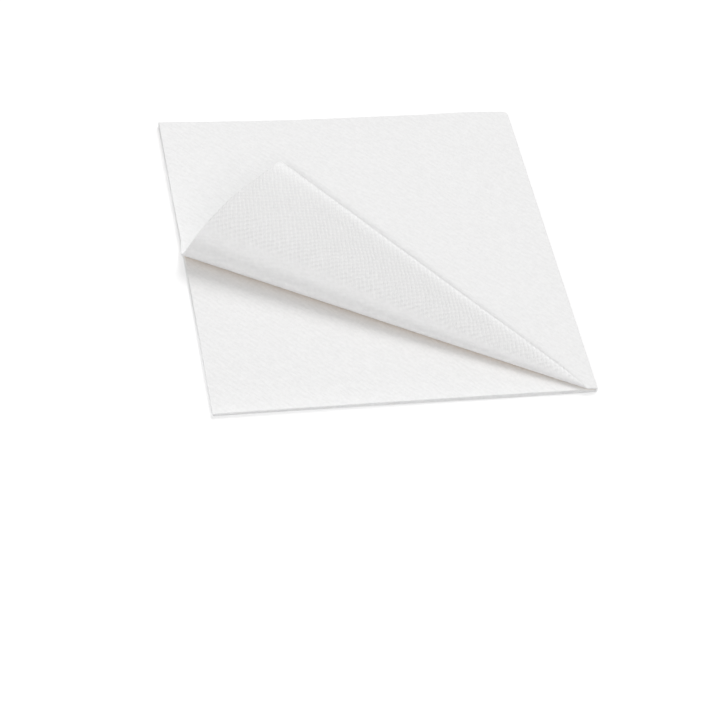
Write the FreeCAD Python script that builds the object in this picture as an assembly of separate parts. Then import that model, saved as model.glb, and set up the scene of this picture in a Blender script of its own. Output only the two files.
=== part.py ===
"""Paper napkin folded into quarters, with one corner of its top layer turned back.

One square sheet lies in four layers. Two folds, one above the other, close the
right edge. The back edge is one fold inside another. The left and front edges
are the sheet's own raw edges. The front left corner of the top layer lifts off
along a slanting line, goes over a conical roll and lies back as a flat flap.
"""
import FreeCAD, Part
import math
import os

V = FreeCAD.Vector

# Folded pack, in mm
side = 165.0
layer = 0.5
slit = 0.1

# Turned-back corner: where the top layer lifts off, and how far its corner reaches
flat_front = 3.7
lift_angle = 29.1
corner_reach = 15.0
corner_radius = 1.5

# Conical roll: half angle, how far the sheet turns over, and inner radius at the front edge
cone_angle = 2.4
roll_turn = 189.2
tightest_bend = 0.17

# Points along each curved edge of the roll
roll_steps = 8

# Sizes that follow from the ones above
pair = 2 * layer + slit
pack = 2 * pair + slit
pair_radius = pair / 2
back_radius = pack / 2
back_centre = side - back_radius
right_centre = side - pair_radius
lift_x = side - flat_front
lift_y = lift_x * math.tan(math.radians(lift_angle))

# How far a cutting tool runs past what it cuts
overshoot = side / 8

# The cone's point lies past the front edge, on the line of lift
point_beyond = (tightest_bend + layer / 2) / math.tan(math.radians(cone_angle))

# Ends of the line of lift, and the free corner, on the sheet laid flat
lift_front = V(lift_x, 0, 0)
lift_left = V(0, lift_y, 0)
free_corner = V(-corner_reach, 0, 0)


def slab(x0, x1, y0, y1, z0, z1):
    """Box between two corners."""
    return Part.makeBox(x1 - x0, y1 - y0, z1 - z0, V(x0, y0, z0))


def rod_along_x(x0, x1, y, z, radius):
    return Part.makeCylinder(radius, x1 - x0, V(x0, y, z), V(1, 0, 0))


def rod_along_y(y0, y1, x, z, radius):
    return Part.makeCylinder(radius, y1 - y0, V(x, y0, z), V(0, 1, 0))


def prism(outline, push):
    """Flat outline pushed along a vector into a solid."""
    return Part.Face(Part.makePolygon(outline + outline[:1])).extrude(push)


def pack_outside():
    """The four layers as one block, round at the back fold and at both right folds."""
    back = slab(0, side, 0, back_centre, 0, pack)
    back = back.fuse(rod_along_x(0, side, back_centre, back_radius, back_radius))
    right = slab(0, right_centre, 0, side, 0, pack)
    for z in (pair_radius, pack - pair_radius):
        right = right.fuse(rod_along_y(0, side, right_centre, z, pair_radius))
    return back.common(right)


def middle_slit():
    """Air between the second and third layers, closed by the inner back fold."""
    left, right = -overshoot, side + overshoot
    flat = slab(left, right, -overshoot, back_centre, pair, pair + slit)
    return flat.fuse(rod_along_x(left, right, back_centre, back_radius, slit / 2))


def wrapped_slit():
    """Air on both sides of the middle pair and round the back of it, closed at the right folds."""
    left = -overshoot
    outer = back_radius - layer
    bend = rod_along_x(left, right_centre, back_centre, back_radius, outer)
    bend = bend.cut(rod_along_x(left, right_centre, back_centre, back_radius, outer - slit))
    bend = bend.common(slab(left, side, back_centre, side, 0, pack))
    straights = []
    for low in (layer, pack - layer - slit):
        straights.append(slab(left, right_centre, -overshoot, back_centre, low, low + slit))
        straights.append(rod_along_y(-overshoot, back_centre, right_centre, low + slit / 2, slit / 2))
    return bend.fuse(straights)


def lifted_corner():
    """The part of the top layer that has left the pack, ahead of the line of lift."""
    past = (lift_front - lift_left).normalize() * overshoot
    base = V(0, 0, pack - layer - slit / 2)
    outline = [lift_front + past, lift_left - past, lift_left - past - V(side, 0, 0), V(-side, -side, 0)]
    return prism([place + base for place in outline], V(0, 0, pack))


def cone_frame():
    """Point of the cone, its axis, and the two directions square to the axis."""
    angle = math.radians(lift_angle)
    half = math.radians(cone_angle)
    ground = V(-math.cos(angle), math.sin(angle), 0)
    ahead = V(-math.sin(angle), -math.cos(angle), 0)
    up = V(0, 0, 1)
    point = lift_front + V(0, 0, pack - layer / 2) - ground * point_beyond
    axis = ground * math.cos(half) + up * math.sin(half)
    crown = up * math.cos(half) - ground * math.sin(half)
    return point, axis, crown, ahead


def generator(turn):
    """Direction of the roll's straight line after a turn, the way the sheet goes on, and out of the roll."""
    half = math.radians(cone_angle)
    _, axis, crown, ahead = cone_frame()
    spoke = ahead * math.sin(turn) - crown * math.cos(turn)
    line = axis * math.cos(half) + spoke * math.sin(half)
    onward = crown * math.sin(turn) + ahead * math.cos(turn)
    outward = spoke * math.cos(half) - axis * math.sin(half)
    return line, onward, outward


def sheet_angle(turn):
    """Angle of the same straight line on the sheet laid flat, from the front edge."""
    return math.radians(lift_angle) - turn * math.sin(math.radians(cone_angle))


def reach(angle, start, end):
    """Distance on the flat sheet from the cone's point to a straight raw edge."""
    point = cone_frame()[0]
    ray = V(-math.cos(angle), math.sin(angle), 0)
    edge = end - start
    from_point = start - V(point.x, point.y, 0)
    return from_point.cross(edge).z / ray.cross(edge).z


def raw_edge_reaches(turn):
    """Distances to the front raw edge and to the left raw edge after a turn of the roll."""
    angle = sheet_angle(turn)
    return reach(angle, lift_front, free_corner), reach(angle, lift_left, free_corner)


def spline(points):
    curve = Part.BSplineCurve()
    curve.interpolate(Points=points, Parameters=[float(i) for i in range(len(points))])
    return curve


def ruled_face(first, second):
    """Straight lines between two splines that share their knots."""
    poles = [list(ends) for ends in zip(first.getPoles(), second.getPoles())]
    knots, counts = first.getKnots(), first.getMultiplicities()
    surface = Part.BSplineSurface()
    surface.buildFromPolesMultsKnots(poles, counts, [2, 2], knots, [0.0, 1.0], False, False, first.Degree, 1)
    return surface.toShape()


def roll_blank(half_thickness):
    """The roll cut to its raw edges: four curved edges, straight lines between them, two flat ends."""
    point = cone_frame()[0]
    full = math.radians(roll_turn)
    runs = {(end, face): [] for end in (0, 1) for face in (1, -1)}
    for step in range(roll_steps + 1):
        turn = full * step / roll_steps
        line, _, outward = generator(turn)
        reaches = raw_edge_reaches(turn)
        for end, face in runs:
            runs[end, face].append(point + line * reaches[end] + outward * (face * half_thickness))
    edges = {key: spline(points) for key, points in runs.items()}
    around = [(0, 1), (1, 1), (1, -1), (0, -1)]
    faces = []
    for first, second in zip(around, around[1:] + around[:1]):
        faces.append(ruled_face(edges[first], edges[second]))
    for which in (0, -1):
        ring = [runs[key][which] for key in around]
        faces.append(Part.Face(Part.makePolygon(ring + ring[:1])))
    skin = Part.makeCompound(faces)
    skin.sewShape()
    return Part.makeSolid(skin.Shells[0])


def cone_at(offset):
    """Solid cone whose skin lies an offset outside the middle of the rolled sheet."""
    point, axis, _, _ = cone_frame()
    half = math.radians(cone_angle)
    height = 2 * side
    return Part.makeCone(0, height * math.tan(half), height, point - axis * (offset / math.sin(half)), axis)


def roll():
    """The conical bend, between two cones and cut to the sheet's raw edges."""
    blank = roll_blank(layer / 2 + tightest_bend / 2)
    return blank.common(cone_at(layer / 2)).cut(cone_at(-layer / 2))


def rounded_corner(before, corner, after, radius):
    """Start, middle and end of the arc that rounds a corner."""
    back = (before - corner).normalize()
    on = (after - corner).normalize()
    half = back.getAngle(on) / 2
    run = radius / math.tan(half)
    depth = radius / math.sin(half) - radius
    return corner + back * run, corner + (back + on).normalize() * depth, corner + on * run


def flap():
    """The flat stretch past the roll, with its free corner a little rounded."""
    point = cone_frame()[0]
    turn = math.radians(roll_turn)
    line, onward, outward = generator(turn)
    near, far = raw_edge_reaches(turn)
    to_corner = free_corner - V(point.x, point.y, 0)
    swing = sheet_angle(turn) - math.atan2(to_corner.y, -to_corner.x)
    skin = point + outward * (layer / 2)
    front = skin + line * near
    back = skin + line * far
    tip = skin + (line * math.cos(swing) + onward * math.sin(swing)) * to_corner.Length
    first, middle, last = rounded_corner(front, tip, back, corner_radius)
    outline = Part.Wire([
        Part.makeLine(front, first),
        Part.Arc(first, middle, last).toShape(),
        Part.makeLine(last, back),
        Part.makeLine(back, front),
    ])
    return Part.Face(outline).extrude(outward * -layer)


def napkin():
    """The whole folded sheet, standing on the middle of its own box."""
    body = pack_outside().cut([middle_slit(), wrapped_slit(), lifted_corner()])
    body = body.fuse([roll(), flap()]).removeSplitter()
    box = body.optimalBoundingBox(False, False)
    body.translate(V(-box.Center.x, -box.Center.y, -box.ZMin))
    return body


os.makedirs("parts", exist_ok=True)
shape = napkin()
print("solids", len(shape.Solids), "valid", shape.isValid(), "volume", round(shape.Volume, 1))
print("box", shape.optimalBoundingBox(False, False))
shape.exportStep("parts/napkin.step")
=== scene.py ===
import math

import bmesh
import bpy
import numpy as np
from mathutils import Matrix, Vector


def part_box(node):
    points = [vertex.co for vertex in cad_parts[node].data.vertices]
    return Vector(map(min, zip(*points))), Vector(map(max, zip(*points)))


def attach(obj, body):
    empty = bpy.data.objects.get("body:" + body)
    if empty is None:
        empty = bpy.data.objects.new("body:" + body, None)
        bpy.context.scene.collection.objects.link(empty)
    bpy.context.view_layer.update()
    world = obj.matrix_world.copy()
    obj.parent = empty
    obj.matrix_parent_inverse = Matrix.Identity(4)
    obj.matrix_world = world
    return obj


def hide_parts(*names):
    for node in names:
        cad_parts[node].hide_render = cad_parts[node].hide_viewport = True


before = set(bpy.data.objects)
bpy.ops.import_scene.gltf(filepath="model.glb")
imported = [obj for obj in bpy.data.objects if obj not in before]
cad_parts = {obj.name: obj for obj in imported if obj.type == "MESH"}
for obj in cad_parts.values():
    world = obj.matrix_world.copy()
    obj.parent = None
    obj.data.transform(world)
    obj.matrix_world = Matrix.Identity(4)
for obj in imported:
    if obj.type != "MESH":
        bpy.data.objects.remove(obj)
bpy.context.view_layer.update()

MM = 0.001

# The napkin's sizes in mm, as the part's source has them
SIDE = 165.0
LAYER = 0.5
SLIT = 0.1
PAIR = 2 * LAYER + SLIT
PACK = 2 * PAIR + SLIT
RIGHT_CENTRE = SIDE - PAIR / 2
BACK_RADIUS = PACK / 2
BACK_CENTRE = SIDE - BACK_RADIUS
RIGHT_BEND = (PAIR - LAYER) / 2

# The whole sheet laid flat. Along s come the outer layers, the right fold and the inner layers,
# and along t the lower layers, the back fold and the upper layers.
RIGHT_RUN = math.pi * RIGHT_BEND
BACK_RUN = math.pi * (BACK_RADIUS - LAYER / 2)
SHEET_S = 2 * RIGHT_CENTRE + RIGHT_RUN
SHEET_T = 2 * BACK_CENTRE + BACK_RUN

# Turned-back corner: the line along which it lifts, how far past the front edge the cone's
# point lies, how far the free corner is drawn out, and how round it is
LIFT_ANGLE = math.radians(29.95)
LIFT_X = 161.6
LIFT_Y = LIFT_X * math.tan(LIFT_ANGLE)
POINT_BEYOND = 10.0
CORNER_REACH = 13.7
FREE_CORNER_RADIUS = 1.5

# The bend takes this angle of the flat sheet and turns it so far, eased in and out over this
# share of it
BEND_WIDTH = 0.14
BEND_TURN = math.radians(161.6)
BEND_EASE = 0.6

# Past the bend the flap is a low arch, whose curvature runs from one value to the other and
# stays at that one over the last small angle
ARCH_REST = 0.02
ARCH_WIDTH = LIFT_ANGLE - BEND_WIDTH - ARCH_REST
ARCH_NEAR = 1.83 / ARCH_WIDTH
ARCH_FAR = -0.9 / ARCH_WIDTH

# Near the cone's point the bend is pressed thinner, from one distance to the other
PRESSED_THIN = 0.45
THIN_NEAR, THIN_FAR = 2, 28

# The flap's front edge curls down by this much over this distance from the edge. The curl
# begins past the bend over a small angle, and away from the cone's point between two distances.
EDGE_CURL = 0.6
CURL_RUN = 3.5
CURL_EASE = 0.06
CURL_NEAR, CURL_FAR = 10, 60

# Beside the roll's front end the top layer stands up so far, over a short way behind the line
# of lift and a longer one from the front edge
END_RISE = 0.35
RISE_BEHIND = 4.0
RISE_ALONG = 15.0

# Slow waves of the free edges, in mm: middle, swing, length of one radian, and phase
OUTER_LEFT_EDGE = (0.15, 0.35, 47, 0.6)
INNER_LEFT_EDGE = (0.25, 0.3, 39, 2.1)
LOWER_FRONT_EDGE = (0.2, 0.3, 41, 1.0)
UPPER_FRONT_EDGE = (0.15, 0.25, 52, 3.0)

# Air that lifts the upper layers away from the folds: its middle and swing in mm, the length
# and phase of its waves, and how far from the folds it is whole
AIR, AIR_SWING = 0.2, 0.12
AIR_ACROSS = (31, 1.3)
AIR_ALONG = (27, 0.4)
FOLD_HOLD = 60

# The back edge is drawn in at one place and stands up at two: by how much, where along it,
# how widely, and from which distance to the front edge on
BACK_DIP = (0.8, 62, 40, 60)
BACK_LIFTS = ((0.8, 146, 17, 100), (0.5, 0, 16, 110))
BACK_CORNER_RADIUS = 3.0

# Thickness left at the raw edges, and the distance over which it comes back
RIM_THICKNESS = 0.8
RIM_RUN = 0.5

# Place of the pack in the frame: its right and back edges are the box's own
RIGHT, BACK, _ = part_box("napkin")[1]
LEFT = RIGHT / MM - SIDE
FRONT = BACK / MM - SIDE


# Camera, at the photograph's viewing angle: how far it is turned away from the y axis, looks
# down and is rolled, its place from the front left corner of the pack's top in sides of the
# pack, and its focal length in pixels
CAMERA_TURN = math.radians(-21.699)
CAMERA_DOWN = math.radians(50.504)
CAMERA_ROLL = math.radians(13.591)
CAMERA_FROM_CORNER = Vector((-0.8069, -2.8902, 3.9541))
FOCAL_PIXELS = 2024.2
PICTURE_PIXELS = 720
SENSOR = 36.0


def set_camera():
    data = bpy.data.cameras.new("camera")
    data.sensor_width = SENSOR
    data.lens = SENSOR * FOCAL_PIXELS / PICTURE_PIXELS
    camera = bpy.data.objects.new("camera", data)
    place = Vector((LEFT, FRONT, PACK)) + CAMERA_FROM_CORNER * SIDE
    aimed = Matrix.Rotation(CAMERA_TURN, 4, "Z") @ Matrix.Rotation(math.pi / 2 - CAMERA_DOWN, 4, "X")
    camera.matrix_world = Matrix.Translation(place * MM) @ aimed @ Matrix.Rotation(CAMERA_ROLL, 4, "Z")
    bpy.context.scene.collection.objects.link(camera)
    bpy.context.scene.camera = camera


# The sheet laid flat: size of its cells, lines close to the raw edges and before the folds,
# and cells round each fold
CELL = 1.9
EDGE_STEPS = (0.0, 0.35, 0.8, 1.5, 2.6, 4.0)
FOLD_STEPS = (2.6, 1.5, 0.7)
FOLD_CELLS = 8

# Straight lines along which the mesh is cut for the bend, how far they run, and how close to
# a cut a point may lie before it is used for it
BEND_CUTS = 27
CUT_LENGTH = 190.0
CUT_SNAP = 0.02


def smooth(a, b, value):
    """0 below a, 1 above b, and an S-curve between."""
    f = np.clip((value - a) / (b - a), 0, 1)
    return f * f * (3 - 2 * f)


def hump(value, middle, width):
    """1 at the middle, falling away on both sides."""
    return np.exp(-((value - middle) / width) ** 2)


def wave(place, middle, swing, length, phase):
    return middle + swing * np.sin(place / length + phase)


def in_top_layer(s, t):
    return (t > BACK_CENTRE + BACK_RUN) & (s < RIGHT_CENTRE)


def in_second_layer(s, t):
    return (t > BACK_CENTRE + BACK_RUN) & (s > RIGHT_CENTRE + RIGHT_RUN)


def lines_across(centre, run):
    """Places of the grid's lines over half a sheet, a fold and the other half."""
    margin = EDGE_STEPS[-1]
    cells = list(np.linspace(margin, centre - margin, round((centre - 2 * margin) / CELL)))
    half = list(EDGE_STEPS[:-1]) + cells + [centre - step for step in FOLD_STEPS]
    bend = list(np.linspace(centre, centre + run, FOLD_CELLS + 1))
    whole = 2 * centre + run
    return half + bend + [whole - place for place in reversed(half)]


def flat_sheet():
    """The whole sheet as a flat grid of square cells, finer at the folds and raw edges."""
    across = lines_across(RIGHT_CENTRE, RIGHT_RUN)
    along = lines_across(BACK_CENTRE, BACK_RUN)
    sheet = bmesh.new()
    rows = [[sheet.verts.new((s, t, 0)) for s in across] for t in along]
    for row, above in zip(rows, rows[1:]):
        for i in range(len(across) - 1):
            sheet.faces.new((row[i], row[i + 1], above[i + 1], above[i]))
    return sheet


def cone_point():
    return LIFT_X + POINT_BEYOND * math.cos(LIFT_ANGLE), -POINT_BEYOND * math.sin(LIFT_ANGLE)


def undrawn(x, y):
    """The place across the plain sheet of a place on the drawn-out corner."""
    return (x + CORNER_REACH - y * CORNER_REACH / LIFT_Y) / (1 + CORNER_REACH / LIFT_X)


def cut_along_roll(sheet):
    """Lay edges of the mesh along the roll's own straight lines, so that it bends cleanly."""
    px, py = cone_point()
    for turn in np.linspace(0, BEND_WIDTH, BEND_CUTS):
        angle = LIFT_ANGLE - turn
        x, y = px - CUT_LENGTH * math.cos(angle), py + CUT_LENGTH * math.sin(angle)
        line = Vector((undrawn(x, y) - px, -(y - py), 0))
        middles = ((face, face.calc_center_median()) for face in sheet.faces)
        faces = [face for face, middle in middles if in_top_layer(middle.x, middle.y)]
        near = {e for f in faces for e in f.edges} | {v for f in faces for v in f.verts} | set(faces)
        bmesh.ops.bisect_plane(
            sheet, geom=list(near), dist=CUT_SNAP, plane_co=Vector((px, SHEET_T - py, 0)),
            plane_no=line.cross(Vector((0, 0, 1))))


# Folding: the roll is followed line by line up to this angle of the flat sheet
ANGLE_LIMIT = math.radians(33)
ANGLE_STEPS = 3000


def curvature_at(angles):
    """Turn of the sheet per angle of the flat sheet: the bend, and then the arch of the flap."""
    to_end = np.minimum(angles, BEND_WIDTH - angles) / (BEND_WIDTH * BEND_EASE / 2)
    bend = (1 - np.cos(np.pi * np.clip(to_end, 0, 1))) / 2 / (1 - BEND_EASE / 2)
    along = np.clip((angles - BEND_WIDTH) / ARCH_WIDTH, 0, 1)
    arch = np.where(angles < BEND_WIDTH, 0, ARCH_NEAR + (ARCH_FAR - ARCH_NEAR) * along)
    return bend * BEND_TURN / BEND_WIDTH + arch


def roll_lines():
    """Direction, and the outer skin's normal, of each straight line of the turned corner."""
    angles = np.linspace(0, ANGLE_LIMIT, ANGLE_STEPS)
    line = np.array((-math.cos(LIFT_ANGLE), math.sin(LIFT_ANGLE), 0.0))
    onward = np.array((-math.sin(LIFT_ANGLE), -math.cos(LIFT_ANGLE), 0.0))
    normal = np.array((0.0, 0.0, 1.0))
    lines, normals = [], []
    for step, curvature in zip(np.diff(angles, append=angles[-1]), curvature_at(angles)):
        lines.append(line)
        normals.append(normal)
        new_line = line + onward * step
        new_normal = normal - onward * curvature * step
        line = new_line / np.linalg.norm(new_line)
        normal = new_normal - line * (new_normal @ line)
        normal = normal / np.linalg.norm(normal)
        onward = np.cross(normal, line)
    return angles, np.array(lines), np.array(normals)


def between_lines(angle, angles, vectors):
    """Unit vectors at any angle, from those of the roll's straight lines."""
    found = np.stack([np.interp(angle, angles, vectors[:, i]) for i in range(3)], 1)
    return found / np.linalg.norm(found, axis=1)[:, None]


def rounded(x, y, corner_x, corner_y, way_x, way_y, radius):
    """Points near a square corner, drawn in until the corner is round."""
    u = np.clip((x - corner_x) * way_x / radius + 1, 0, 1)
    v = np.clip((y - corner_y) * way_y / radius + 1, 0, 1)
    near = (u > 0) & (v > 0)
    new_x = corner_x + way_x * radius * (u * np.sqrt(1 - v * v / 2) - 1)
    new_y = corner_y + way_y * radius * (v * np.sqrt(1 - u * u / 2) - 1)
    return np.where(near, new_x, x), np.where(near, new_y, y)


def folded(s, t, offset):
    """Places of points of the sheet, offset to one side of its middle, once it is folded in four."""
    low = s <= RIGHT_CENTRE
    high = s >= RIGHT_CENTRE + RIGHT_RUN
    turn = math.pi * np.clip((s - RIGHT_CENTRE) / RIGHT_RUN, 0, 1)
    radius = RIGHT_BEND + offset
    x = np.where(low, s, np.where(high, SHEET_S - s, RIGHT_CENTRE + radius * np.sin(turn)))
    in_pair = PAIR / 2 - radius * np.cos(turn)
    low = t <= BACK_CENTRE
    high = t >= BACK_CENTRE + BACK_RUN
    turn = math.pi * np.clip((t - BACK_CENTRE) / BACK_RUN, 0, 1)
    radius = BACK_RADIUS - in_pair
    y = np.where(low, t, np.where(high, SHEET_T - t, BACK_CENTRE + radius * np.sin(turn)))
    z = BACK_RADIUS - radius * np.cos(turn)
    return x, y, z


def loosened(s, t, x, y, z):
    """Small misfits of the edges, and the air that stays between the layers."""
    upper = t > BACK_CENTRE
    inner = s > RIGHT_CENTRE
    from_right = np.clip(1 - np.where(inner, SHEET_S - s, s) / SIDE, 0, 1)
    from_back = np.clip(1 - np.where(upper, SHEET_T - t, t) / SIDE, 0, 1)
    x = x + np.where(inner, wave(t, *INNER_LEFT_EDGE), wave(t, *OUTER_LEFT_EDGE)) * from_right ** 2
    y = y + np.where(upper, wave(s, *UPPER_FRONT_EDGE), wave(s, *LOWER_FRONT_EDGE)) * from_back ** 2
    level = np.clip(z / PACK, 0, 1)
    free = (1 - smooth(SIDE - FOLD_HOLD, SIDE, x)) * (1 - smooth(SIDE - FOLD_HOLD, SIDE, y))
    ripple = wave(x, 0, 1, *AIR_ACROSS) * wave(y, 0, 1, *AIR_ALONG)
    z = z + level * free * (AIR + AIR_SWING * ripple)
    depth, middle, width, start = BACK_DIP
    y = y - depth * hump(x, middle, width) * smooth(start, SIDE, y)
    for height, middle, width, start in BACK_LIFTS:
        z = z + height * level * hump(x, middle, width) * smooth(start, SIDE, y)
    x, y = rounded(x, y, SIDE, SIDE, 1, 1, BACK_CORNER_RADIUS)
    return x, y, z


def behind_lift(x, y):
    """Distance of a place behind the line along which the corner lifts."""
    return np.clip((x - LIFT_X) * math.sin(LIFT_ANGLE) + y * math.cos(LIFT_ANGLE), 0, None)


def end_rise(x, y):
    """How far the top layer stands up beside the front end of the roll."""
    spread = hump(behind_lift(x, y), 0, RISE_BEHIND) * hump(y, 0, RISE_ALONG)
    return END_RISE * spread * smooth(0, RIGHT_CENTRE - LIFT_X, RIGHT_CENTRE - x)


def from_cone_point(s, t):
    """Distance from the cone's point, angle past the line of lift, and distance from the front edge."""
    px, py = cone_point()
    x, y = s, SHEET_T - t
    lifted = np.clip(1 - x / LIFT_X - y / LIFT_Y, 0, None)
    x, y = rounded(x, y, 0, 0, -1, -1, FREE_CORNER_RADIUS)
    x = x - CORNER_REACH * lifted
    return np.hypot(x - px, y - py), LIFT_ANGLE - np.arctan2(y - py, px - x), y


def turned_back(reach, angle, from_front, offset):
    """Places of the points past the line of lift, on the roll and the flap."""
    px, py = cone_point()
    angles, lines, normals = roll_lines()
    line = between_lines(angle, angles, lines)
    normal = between_lines(angle, angles, normals)
    flap = smooth(BEND_WIDTH, BEND_WIDTH + CURL_EASE, angle)
    curl = flap * EDGE_CURL * np.exp(-from_front / CURL_RUN) * smooth(CURL_NEAR, CURL_FAR, reach)
    base = np.array((px, py, PACK - LAYER / 2))
    places = base + line * reach[:, None] + normal * (offset - curl)[:, None]
    x = np.clip(px - reach * math.cos(LIFT_ANGLE), 0, SIDE)
    y = np.clip(py + reach * math.sin(LIFT_ANGLE), 0, SIDE)
    _, _, height = loosened(x, SHEET_T - y, x, y, np.full_like(x, PACK))
    places[:, 2] += height - PACK + end_rise(x, y)
    return places


def shape_of(s, t, offset):
    """Places of the sheet's points, folded, with the corner turned back, and how far each has turned."""
    reach, angle, from_front = from_cone_point(s, t)
    top = in_top_layer(s, t)
    past = top & (angle > 0)
    thinned = smooth(THIN_NEAR, THIN_FAR, reach) * (1 - PRESSED_THIN) + PRESSED_THIN
    offset = offset * np.where(past & (angle < BEND_WIDTH), thinned, 1)
    x, y, z = loosened(s, t, *folded(s, t, offset))
    z = z + np.where(top, end_rise(s, SHEET_T - t), 0)
    flat = np.stack([x, y, z], 1)
    places = np.where(past[:, None], turned_back(reach, angle, from_front, offset), flat)
    return places + np.array((LEFT, FRONT, 0)), np.where(past, angle, 0)


# Where the plain band of the roll fades in and out, the flap's embossing fades in, and the
# painted shade of a single layer does, as angles of the flat sheet
BAND_IN = (0, 0.05)
BAND_OUT = (BEND_WIDTH - 0.02, BEND_WIDTH + 0.035)
FLAP_IN = (BEND_WIDTH - 0.02, BEND_WIDTH + 0.03)
PAINTED_SHADE_IN = (0.01, 0.05)

# How deep the flat layers are embossed against the flap, and what the plain band loses
FLAT_PRESS = 0.12
BAND_LOSS = 0.85

# Painted highlights and painted glow of the tissue: strength, and the distance in mm over which each fades
FLAP_EDGE_HIGHLIGHT, FLAP_EDGE_HIGHLIGHT_RUN = 3.0, 2.2
FREE_CORNER_HIGHLIGHT, FREE_CORNER_HIGHLIGHT_RUN = 1.5, 18
EDGE_HIGHLIGHT_RUN = 0.2
FRONT_HIGHLIGHT, FRONT_HIGHLIGHT_RUN = 0.9, 6
INSIDE_GLOW, INSIDE_GLOW_BEHIND, INSIDE_GLOW_ACROSS = 1.4, 30, 50

# Least value of the painted shade of a single layer, which is the strongest painted highlight: below it
# the tissue would be whiter than white
BRIGHTEST = -1.25

# Painted warm shade under the roll: its edge as an angle at the cone's point, the share and the
# fall-off in mm of its near and far parts
SHADE_ANGLE = math.radians(28.2)
SHADE_NEAR = 0.78
NEAR_RUN, FAR_RUN = 2.0, 7.0

# The shade is as wide as its fall-off says at one distance from the cone's point and wider
# close to it, and it is weaker there too
SHADE_REACH, SHADE_LEAST_REACH, SHADE_POWER = 120, 8, 0.4
SHADE_AT_POINT = 0.4
SHADE_WEAK, SHADE_WHOLE = 8, 50


def shaded_by_roll(s, t):
    """How deep each point of the second layer lies in the painted warm shade under the roll."""
    px, py = cone_point()
    x, y = SHEET_S - s, SHEET_T - t
    reach = np.hypot(x - px, y - py)
    ahead = np.clip(reach * np.sin(SHADE_ANGLE - np.arctan2(y - py, px - x)), 0, None)
    ahead = ahead * (SHADE_REACH / np.clip(reach, SHADE_LEAST_REACH, None)) ** SHADE_POWER
    depth = SHADE_NEAR * np.exp(-ahead / NEAR_RUN) + (1 - SHADE_NEAR) * np.exp(-ahead / FAR_RUN)
    depth = depth * (SHADE_AT_POINT + (1 - SHADE_AT_POINT) * smooth(SHADE_WEAK, SHADE_WHOLE, reach))
    return np.where(in_second_layer(s, t), depth, 0)


def embossing(angle):
    """How deep each point is embossed."""
    plain = smooth(*BAND_IN, angle) * (1 - smooth(*BAND_OUT, angle))
    return (FLAT_PRESS + (1 - FLAT_PRESS) * smooth(*FLAP_IN, angle)) * (1 - BAND_LOSS * plain)


def painted_shade_and_highlights(s, t, edge, angle):
    """Painted shade of each point where a single layer lets light through, and painted highlights (less
    than 0) on the flap's edge, the free corner, the raw edges, the second layer's front and inside the
    roll.
    """
    from_front = SHEET_T - t
    flap = smooth(*FLAP_IN, angle)
    # Painted highlight along the raw edges
    painted_edge_highlight = np.exp(-edge / EDGE_HIGHLIGHT_RUN) * (1 - flap)
    # Painted highlight along the second layer's front edge
    painted_front_highlight = np.where(in_second_layer(s, t), FRONT_HIGHLIGHT * np.exp(-from_front / FRONT_HIGHLIGHT_RUN), 0)
    # Painted highlight at the flap's free corner
    painted_corner_highlight = FREE_CORNER_HIGHLIGHT * np.exp(-np.hypot(s, from_front) / FREE_CORNER_HIGHLIGHT_RUN)
    # Painted highlight along the flap's front edge
    painted_flap_edge_highlight = FLAP_EDGE_HIGHLIGHT * np.exp(-from_front / FLAP_EDGE_HIGHLIGHT_RUN) * flap
    # Painted shade of the flap's single layer, less at its free corner, minus the painted highlights
    lower = smooth(*PAINTED_SHADE_IN, angle) * (1 - painted_corner_highlight) - painted_flap_edge_highlight - painted_edge_highlight - painted_front_highlight
    # Painted glow on the top layer inside the roll, beside the line of lift
    painted_inside_glow = INSIDE_GLOW * np.exp(-behind_lift(s, from_front) / INSIDE_GLOW_BEHIND) * hump(s, 0, INSIDE_GLOW_ACROSS)
    painted_inside_glow = np.where(in_top_layer(s, t), painted_inside_glow, 0)
    # The outer skin of the turned-back corner, inside the roll and under the flap, gets the strongest
    # painted highlight
    upper = np.where(angle > 0, BRIGHTEST, -painted_inside_glow - painted_edge_highlight - painted_front_highlight)
    return np.clip(np.concatenate([upper, lower]), BRIGHTEST, 1)


def give_attribute(mesh, name, values):
    layer = mesh.attributes.new(name, "FLOAT", "POINT")
    layer.data.foreach_set("value", values.astype(np.float32))


def lay_out(mesh, flat):
    """UV map of both skins: the sheet laid flat, in metres."""
    layer = mesh.uv_layers.new(name="sheet")
    corner = np.empty(len(mesh.loops), dtype=np.int32)
    mesh.loops.foreach_get("vertex_index", corner)
    both = np.concatenate([flat, flat]) * MM
    layer.data.foreach_set("uv", both[corner].astype(np.float32).ravel())


def closed_skins(sheet):
    """Faces of two skins and the rim between them, for points doubled from the flat sheet's."""
    count = len(sheet.verts)
    faces = [[v.index for v in face.verts] for face in sheet.faces]
    in_order = {pair for face in faces for pair in zip(face, face[1:] + face[:1])}
    rim = [tuple(v.index for v in edge.verts) for edge in sheet.edges if len(edge.link_faces) == 1]
    rim = [(a, b) if (a, b) in in_order else (b, a) for a, b in rim]
    polygons = [list(reversed(face)) for face in faces]
    polygons += [[i + count for i in face] for face in faces]
    polygons += [[a, b, b + count, a + count] for a, b in rim]
    return polygons


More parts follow.
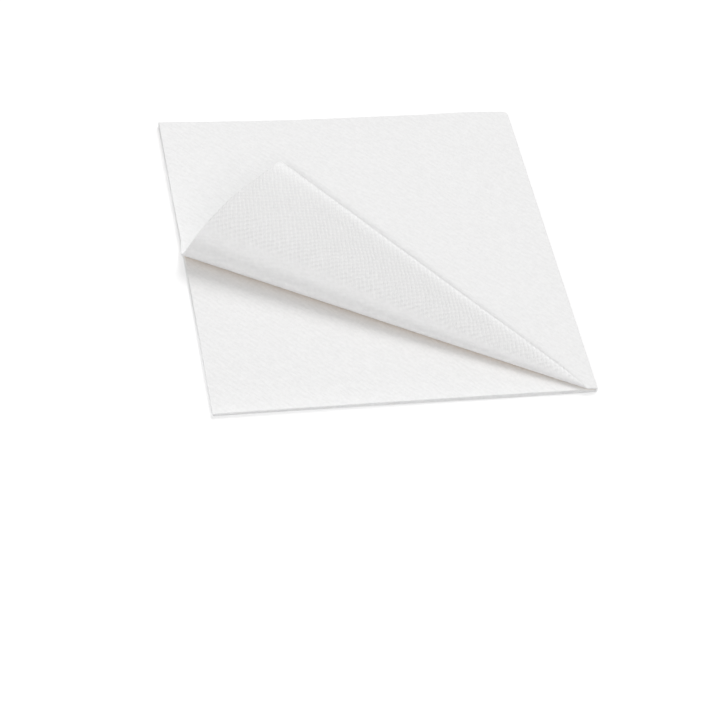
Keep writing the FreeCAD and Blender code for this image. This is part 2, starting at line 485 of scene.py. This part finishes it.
def make_napkin():
    sheet = flat_sheet()
    cut_along_roll(sheet)
    sheet.verts.ensure_lookup_table()
    sheet.verts.index_update()
    flat = np.array([v.co for v in sheet.verts])[:, :2]
    polygons = closed_skins(sheet)
    sheet.free()
    s, t = flat[:, 0], flat[:, 1]
    edge = np.minimum(np.minimum(s, SHEET_S - s), np.minimum(t, SHEET_T - t))
    thick = RIM_THICKNESS + (1 - RIM_THICKNESS) * np.clip(edge / RIM_RUN, 0, 1) ** 0.5
    outer, angle = shape_of(s, t, LAYER / 2 * thick)
    inner, _ = shape_of(s, t, -LAYER / 2 * thick)
    mesh = bpy.data.meshes.new("napkin_sheet")
    mesh.from_pydata([tuple(place) for place in np.concatenate([outer, inner]) * MM], [], polygons)
    mesh.update()
    mesh.validate()
    lay_out(mesh, flat)
    give_attribute(mesh, "emboss", np.tile(embossing(angle), 2))
    # Painted shade of a single layer and painted highlights, as a tint of the tissue's colour
    give_attribute(mesh, "painted_shade_and_light", painted_shade_and_highlights(s, t, edge, angle))
    # Painted warm shade under the roll, as a tint of the tissue's colour
    give_attribute(mesh, "painted_roll_shade", np.tile(shaded_by_roll(s, t), 2))
    mesh.polygons.foreach_set("use_smooth", [True] * len(mesh.polygons))
    piece = bpy.data.objects.new("folded_napkin", mesh)
    bpy.context.scene.collection.objects.link(piece)
    return piece


# Embossed dots: pitch in mm and slant on the sheet of their columns and of their rows, the
# share of each, and how far they stray in metres, with how many strays to a metre
DOT_COLUMNS = (1.87, math.radians(36))
DOT_ROWS = (1.85, math.radians(-32))
COLUMN_SHARE = 0.58
ROW_SHARE = 0.44
STRAY = 0.0011
STRAYS = 90.0

# Faint hatch of the plain side: pitch and length of its strokes in mm, and their slant
HATCH_PITCH = 1.2
HATCH_LENGTH = 5.0
HATCH_SLANT = math.radians(-50)

# Fibres, flecks and clouds of the tissue to a metre
FIBRES, FLECKS, CLOUDS = 1400.0, 700.0, 60.0

# Depth of the embossing and of the fibres in metres, and the hatch's share of the embossing
EMBOSS_DEPTH = 0.00029
HATCH_DEPTH = 0.22
FIBRE_DEPTH = 0.00009

# Colour of the tissue at the dim and the bright end of its tone, and what each form adds to its tone
DIM_WHITE_AND_HOLLOW_SHADE = (0.866, 0.864, 0.8635)
BRIGHT_WHITE_AND_LIT_HEIGHTS = (0.926, 0.924, 0.9235)
# The dots' share paints shade into their hollows and light onto their heights; clouds, flecks and hatch
# are the tissue's own uneven tone
CLOUD_TONE, FLECK_TONE, RELIEF_PAINTED_SHADE, HATCH_TONE = 0.08, 0.45, 0.85, 0.5

# Tints of the painted shade of a single layer and of the painted shade under the roll
PAINTED_SHADE_TINT = (0.94, 0.9375, 0.937)
PAINTED_ROLL_SHADE_TINT = (0.81, 0.695, 0.59)


class NodeBench:
    """Adds nodes to one node tree and wires them."""

    def __init__(self, tree):
        self.nodes, self.links = tree.nodes, tree.links

    def wire(self, source, socket):
        self.links.new(source, socket)

    def node(self, kind, **settings):
        made = self.nodes.new(kind)
        for key, value in settings.items():
            setattr(made, key, value)
        return made

    def maths(self, operation, first, second=0.0):
        made = self.node("ShaderNodeMath", operation=operation)
        for socket, value in zip(made.inputs, (first, second)):
            if isinstance(value, (int, float)):
                socket.default_value = value
            else:
                self.wire(value, socket)
        return made.outputs[0]

    def ranged(self, value, low, high, to_low=0.0, to_high=1.0):
        made = self.node("ShaderNodeMapRange", interpolation_type="SMOOTHSTEP")
        self.wire(value, made.inputs["Value"])
        made.inputs["From Min"].default_value = low
        made.inputs["From Max"].default_value = high
        made.inputs["To Min"].default_value = to_low
        made.inputs["To Max"].default_value = to_high
        return made.outputs["Result"]

    def noise(self, source, scale, detail):
        made = self.node("ShaderNodeTexNoise", noise_dimensions="2D")
        made.inputs["Scale"].default_value = scale
        made.inputs["Detail"].default_value = detail
        self.wire(source, made.inputs["Vector"])
        return made

    def attribute(self, name):
        return self.node("ShaderNodeAttribute", attribute_name=name).outputs["Fac"]

    def bump(self, height, depth, strength):
        made = self.node("ShaderNodeBump")
        made.inputs["Strength"].default_value = strength
        made.inputs["Distance"].default_value = depth
        self.wire(height, made.inputs["Height"])
        return made

    def tinted(self, under, name, colour):
        """The colour under it, multiplied by another as far as the mesh's attribute says."""
        made = self.node("ShaderNodeMix", data_type="RGBA", blend_type="MULTIPLY", clamp_factor=False)
        self.wire(self.attribute(name), made.inputs["Factor"])
        self.wire(under, made.inputs["A"])
        made.inputs["B"].default_value = (*colour, 1)
        return made.outputs["Result"]


def dots(bench, sheet):
    """Diagonal grid of small dots, 0 in the hollows and 1 on the heights."""
    strayed = bench.node("ShaderNodeVectorMath", operation="MULTIPLY_ADD")
    bench.wire(bench.noise(sheet, STRAYS, 1.0).outputs["Color"], strayed.inputs[0])
    strayed.inputs[1].default_value = (STRAY, STRAY, 0)
    bench.wire(sheet, strayed.inputs[2])

    def row(pitch, slant):
        along = bench.node("ShaderNodeVectorMath", operation="DOT_PRODUCT")
        bench.wire(strayed.outputs[0], along.inputs[0])
        turns = 2 * math.pi / (pitch * MM)
        along.inputs[1].default_value = (turns * math.cos(slant), turns * math.sin(slant), 0)
        return bench.maths("COSINE", along.outputs["Value"])

    columns = bench.maths("MULTIPLY", row(*DOT_COLUMNS), COLUMN_SHARE)
    rows = bench.maths("MULTIPLY", row(*DOT_ROWS), ROW_SHARE)
    return bench.ranged(bench.maths("ADD", columns, rows), -1.0, 1.0)


def hatch(bench, sheet):
    """Faint slanting strokes, mirrored at the right fold so that they lie alike on every layer."""
    apart = bench.node("ShaderNodeSeparateXYZ")
    bench.wire(sheet, apart.inputs[0])
    fold = SHEET_S / 2 * MM
    past_fold = bench.maths("ABSOLUTE", bench.maths("SUBTRACT", apart.outputs["X"], fold))
    across = bench.maths("SUBTRACT", fold, past_fold)
    strokes = bench.node("ShaderNodeCombineXYZ")
    for socket, pitch, turn in (("X", HATCH_PITCH, 0.0), ("Y", HATCH_LENGTH, math.pi / 2)):
        first = bench.maths("MULTIPLY", across, math.cos(HATCH_SLANT + turn) / (pitch * MM))
        second = bench.maths("MULTIPLY", apart.outputs["Y"], math.sin(HATCH_SLANT + turn) / (pitch * MM))
        bench.wire(bench.maths("ADD", first, second), strokes.inputs[socket])
    return bench.ranged(bench.noise(strokes.outputs[0], 1.0, 1.0).outputs["Fac"], 0.25, 0.75)


def tissue():
    """Soft white tissue with embossed dots and loose fibres, laid out on the flat sheet."""
    material = bpy.data.materials.new("embossed_tissue")
    material.use_nodes = True
    bench = NodeBench(material.node_tree)
    shader = bench.nodes["Principled BSDF"]
    shader.inputs["Specular IOR Level"].default_value = 0.2
    shader.inputs["Sheen Weight"].default_value = 0.08
    shader.inputs["Sheen Roughness"].default_value = 0.6

    sheet = bench.node("ShaderNodeUVMap", uv_map="sheet").outputs["UV"]
    press = bench.attribute("emboss")
    relief = bench.maths("MULTIPLY", dots(bench, sheet), press)
    hatched = bench.maths("MULTIPLY", hatch(bench, sheet), bench.maths("SUBTRACT", 1.0, press))
    fibres = bench.noise(sheet, FIBRES, 3.0).outputs["Fac"]
    flecks = bench.ranged(bench.noise(sheet, FLECKS, 2.0).outputs["Fac"], 0.3, 0.7)
    clouds = bench.ranged(bench.noise(sheet, CLOUDS, 4.0).outputs["Fac"], 0.3, 0.7)

    height = bench.maths("ADD", relief, bench.maths("MULTIPLY", hatched, HATCH_DEPTH))
    embossed = bench.bump(height, EMBOSS_DEPTH, 1.0)
    fuzzy = bench.bump(fibres, FIBRE_DEPTH, 0.8)
    bench.wire(embossed.outputs[0], fuzzy.inputs["Normal"])
    bench.wire(fuzzy.outputs[0], shader.inputs["Normal"])

    tone = bench.maths("MULTIPLY", clouds, CLOUD_TONE)
    # The relief's share is painted shade in the dots' hollows and painted light on their heights
    for form, share in ((flecks, FLECK_TONE), (relief, RELIEF_PAINTED_SHADE), (hatched, HATCH_TONE)):
        tone = bench.maths("ADD", tone, bench.maths("MULTIPLY", form, share))
    white = bench.node("ShaderNodeMix", data_type="RGBA")
    white.inputs["A"].default_value = (*DIM_WHITE_AND_HOLLOW_SHADE, 1)
    white.inputs["B"].default_value = (*BRIGHT_WHITE_AND_LIT_HEIGHTS, 1)
    bench.wire(tone, white.inputs["Factor"])
    # Painted shade of a single layer, and painted highlights where the value is below 0
    painted_shade_and_light = bench.tinted(white.outputs["Result"], "painted_shade_and_light", PAINTED_SHADE_TINT)
    # Painted warm shade under the roll
    bench.wire(bench.tinted(painted_shade_and_light, "painted_roll_shade", PAINTED_ROLL_SHADE_TINT), shader.inputs["Base Color"])
    bench.wire(bench.ranged(fibres, 0.3, 0.7, 0.84, 0.96), shader.inputs["Roughness"])
    return material


# White ground, which the camera sees a little brighter so that it stays white, and its half
# width in metres
GROUND_GREY = 0.86
GROUND_GLOW = 0.26
FLOOR_HALF = 1.6

# Soft light from all round, and the lamps: place and width in metres, power in watts
DOME_LIGHT = 0.415
LAMPS = (
    ("back_right_lamp", (0.964, 1.670, 2.298), 2.0, 46.0),
    ("front_left_lamp", (-1.826, -1.279, 2.007), 1.4, 20.3),
    ("front_lamp", (-0.1, -0.9, 0.55), 0.5, 1.15),
)


def ground():
    material = bpy.data.materials.new("ground")
    material.use_nodes = True
    bench = NodeBench(material.node_tree)
    bench.nodes.clear()
    out = bench.node("ShaderNodeOutputMaterial")
    diffuse = bench.node("ShaderNodeBsdfDiffuse")
    diffuse.inputs["Color"].default_value = (GROUND_GREY, GROUND_GREY, GROUND_GREY, 1)
    glow = bench.node("ShaderNodeEmission")
    seen = bench.node("ShaderNodeLightPath").outputs["Is Camera Ray"]
    bench.wire(bench.maths("MULTIPLY", seen, GROUND_GLOW), glow.inputs["Strength"])
    both = bench.node("ShaderNodeAddShader")
    bench.wire(diffuse.outputs[0], both.inputs[0])
    bench.wire(glow.outputs[0], both.inputs[1])
    bench.wire(both.outputs[0], out.inputs["Surface"])
    return material


def make_floor():
    mesh = bpy.data.meshes.new("floor")
    corners = [(x * FLOOR_HALF, y * FLOOR_HALF, 0) for x, y in ((-1, -1), (1, -1), (1, 1), (-1, 1))]
    mesh.from_pydata(corners, [], [(0, 1, 2, 3)])
    floor = bpy.data.objects.new("floor", mesh)
    mesh.materials.append(ground())
    bpy.context.scene.collection.objects.link(floor)


def make_dome():
    """Even light from all round, behind which the camera sees plain white."""
    world = bpy.data.worlds.new("dome")
    bpy.context.scene.world = world
    world.use_nodes = True
    bench = NodeBench(world.node_tree)
    sky = bench.nodes["Background"]
    sky.inputs["Color"].default_value = (1, 1, 1, 1)
    strength = bench.node("ShaderNodeMix", data_type="FLOAT")
    strength.inputs["A"].default_value = DOME_LIGHT
    strength.inputs["B"].default_value = 1.0
    bench.wire(bench.node("ShaderNodeLightPath").outputs["Is Camera Ray"], strength.inputs["Factor"])
    bench.wire(strength.outputs["Result"], sky.inputs["Strength"])


def make_lamps():
    for name, place, size, power in LAMPS:
        data = bpy.data.lights.new(name, "AREA")
        data.shape = "DISK"
        data.size = size
        data.energy = power
        lamp = bpy.data.objects.new(name, data)
        lamp.location = place
        lamp.visible_camera = False
        lamp.rotation_euler = (-Vector(place)).to_track_quat("-Z", "Y").to_euler()
        bpy.context.scene.collection.objects.link(lamp)


set_camera()
napkin = make_napkin()
napkin.data.materials.append(tissue())
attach(napkin, "root")
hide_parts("napkin")
make_floor()
make_dome()
make_lamps()
bpy.context.scene.view_settings.view_transform = "Standard"
